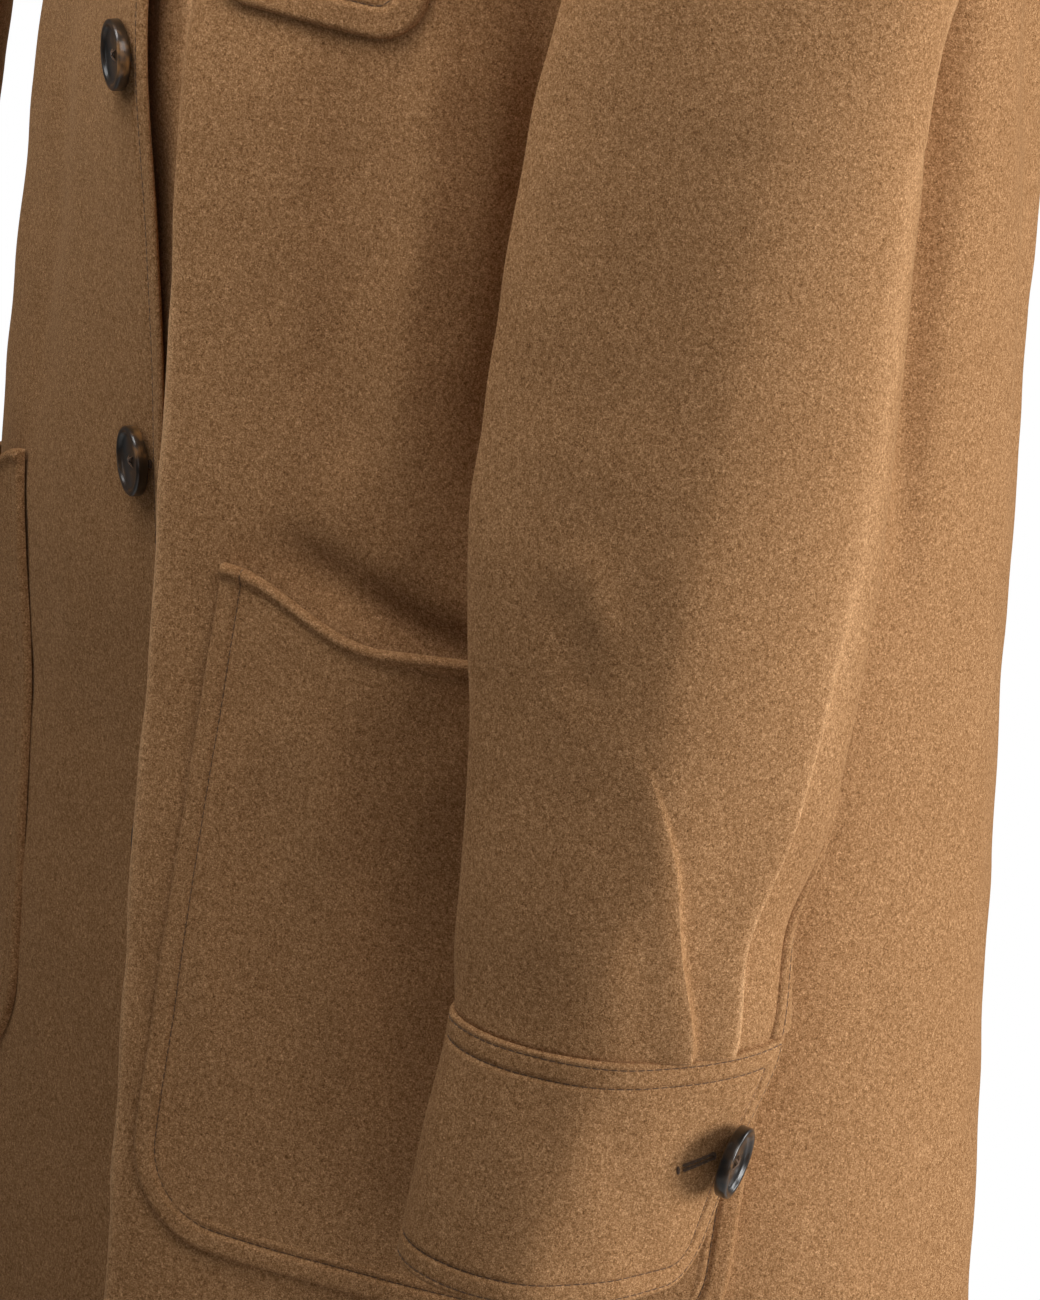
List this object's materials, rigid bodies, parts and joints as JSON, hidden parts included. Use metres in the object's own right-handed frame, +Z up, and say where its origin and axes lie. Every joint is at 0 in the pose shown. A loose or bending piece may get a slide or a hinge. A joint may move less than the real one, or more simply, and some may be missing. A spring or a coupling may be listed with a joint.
{
  "type": "single-breasted coat",
  "caption": "Long single-breasted wool coat in hollow worn form, with patch pockets, buttoned cuffs and a turn-down collar.",
  "frame": {"origin": "level of the neck points on the shoulder line, midway between them, where a wearer's shoulders hold the coat", "axes": "+Z up, -Y towards the front closure, +X towards the wearer's left"},
  "size_m": [0.6156, 0.3564, 1.0976],
  "materials": {
    "wool": "felted camel wool with a short nap",
    "horn": "polished dark horn"
  },
  "bodies": {
    "root": {"front_left": "wool", "front_right": "wool", "back": "wool", "sleeve_left": "wool", "sleeve_right": "wool", "cuff_left": "wool", "cuff_right": "wool", "sleeve_placket_left": "wool", "sleeve_placket_right": "wool", "pocket_lower_left": "wool", "pocket_lower_right": "wool", "pocket_chest_left": "wool", "collar": "wool", "button_front_1": "horn", "button_front_2": "horn", "button_front_3": "horn", "button_front_4": "horn", "button_front_5": "horn", "button_cuff_left": "horn", "button_cuff_right": "horn"}
  },
  "joints": []
}
